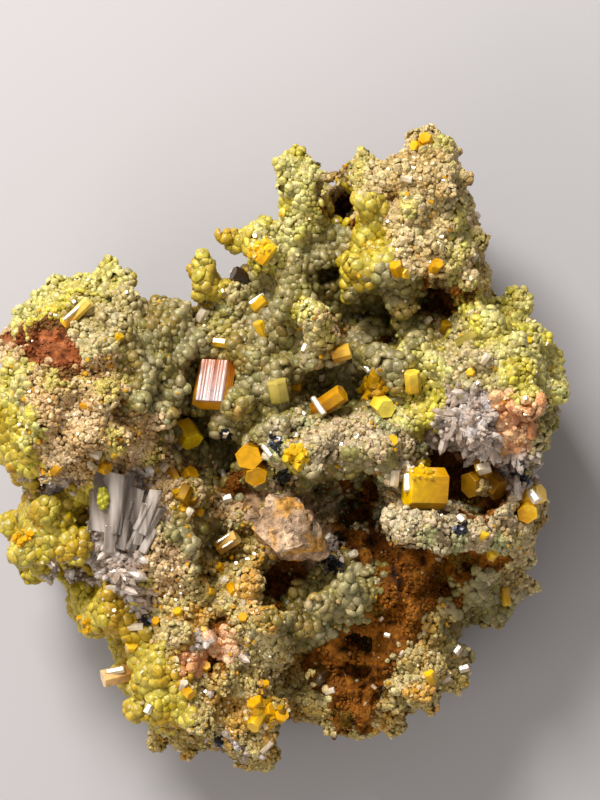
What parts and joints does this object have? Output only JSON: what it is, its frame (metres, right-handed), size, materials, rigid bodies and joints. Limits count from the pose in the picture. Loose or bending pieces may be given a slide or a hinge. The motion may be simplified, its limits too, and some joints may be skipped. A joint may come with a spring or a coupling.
{
  "type": "pyromorphite specimen",
  "caption": "Hand-sized lump of limonite and quartz rock with a botryoidal green and yellow crust, orange hexagonal prisms and a sheaf of clear blades, lying on its trimmed back.",
  "frame": {"origin": "centre of the flat trimmed back that the specimen lies on", "axes": "+Z out of the display face, +Y towards the top of the display face as it was pictured, +X to its right"},
  "size_m": [0.0622, 0.0699, 0.028],
  "materials": {
    "crusted_rock": "rough botryoidal crust over rusty rock",
    "orange_crystal": "bright resinous crystal faces",
    "clear_quartz": "clear to cloudy natural faces"
  },
  "bodies": {
    "root": {"matrix": "crusted_rock", "striated_prism": "orange_crystal", "orange_twin": "orange_crystal", "yellow_block": "orange_crystal", "vug_twin": "orange_crystal", "edge_twin": "orange_crystal", "centre_prism": "orange_crystal", "left_prism": "orange_crystal", "nose_prism": "orange_crystal", "basin_prism": "orange_crystal", "knoll_prism": "orange_crystal", "shoulder_lath": "orange_crystal", "rim_prism": "orange_crystal", "gully_prism": "orange_crystal", "wall_prism": "orange_crystal", "clear_blades": "clear_quartz"}
  },
  "joints": []
}
